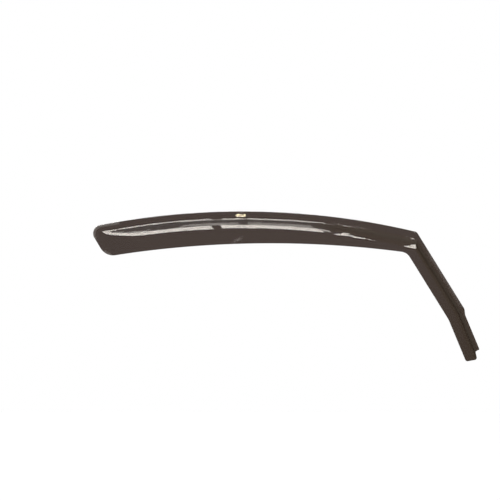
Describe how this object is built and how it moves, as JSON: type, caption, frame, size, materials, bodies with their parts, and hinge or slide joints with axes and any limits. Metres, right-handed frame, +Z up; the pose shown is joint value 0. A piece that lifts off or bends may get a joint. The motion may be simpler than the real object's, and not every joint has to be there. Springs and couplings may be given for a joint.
{
  "type": "window rain deflector",
  "caption": "Smoked acrylic strip that slides into a car door's window channel along the roof and front pillar and throws rain clear of the open window.",
  "frame": {"origin": "on the seat face of the roof flange, which lies against the window channel, at the crown of its upper edge", "axes": "+X to the front of the car, +Y into the car, +Z up, as fitted to the right-hand front door"},
  "size_m": [0.6596, 0.013, 0.2551],
  "materials": {
    "smoked_acrylic": "polished smoked acrylic sheet, dark warm brown, lets a little light through"
  },
  "bodies": {
    "root": {"deflector": "smoked_acrylic"}
  },
  "joints": []
}
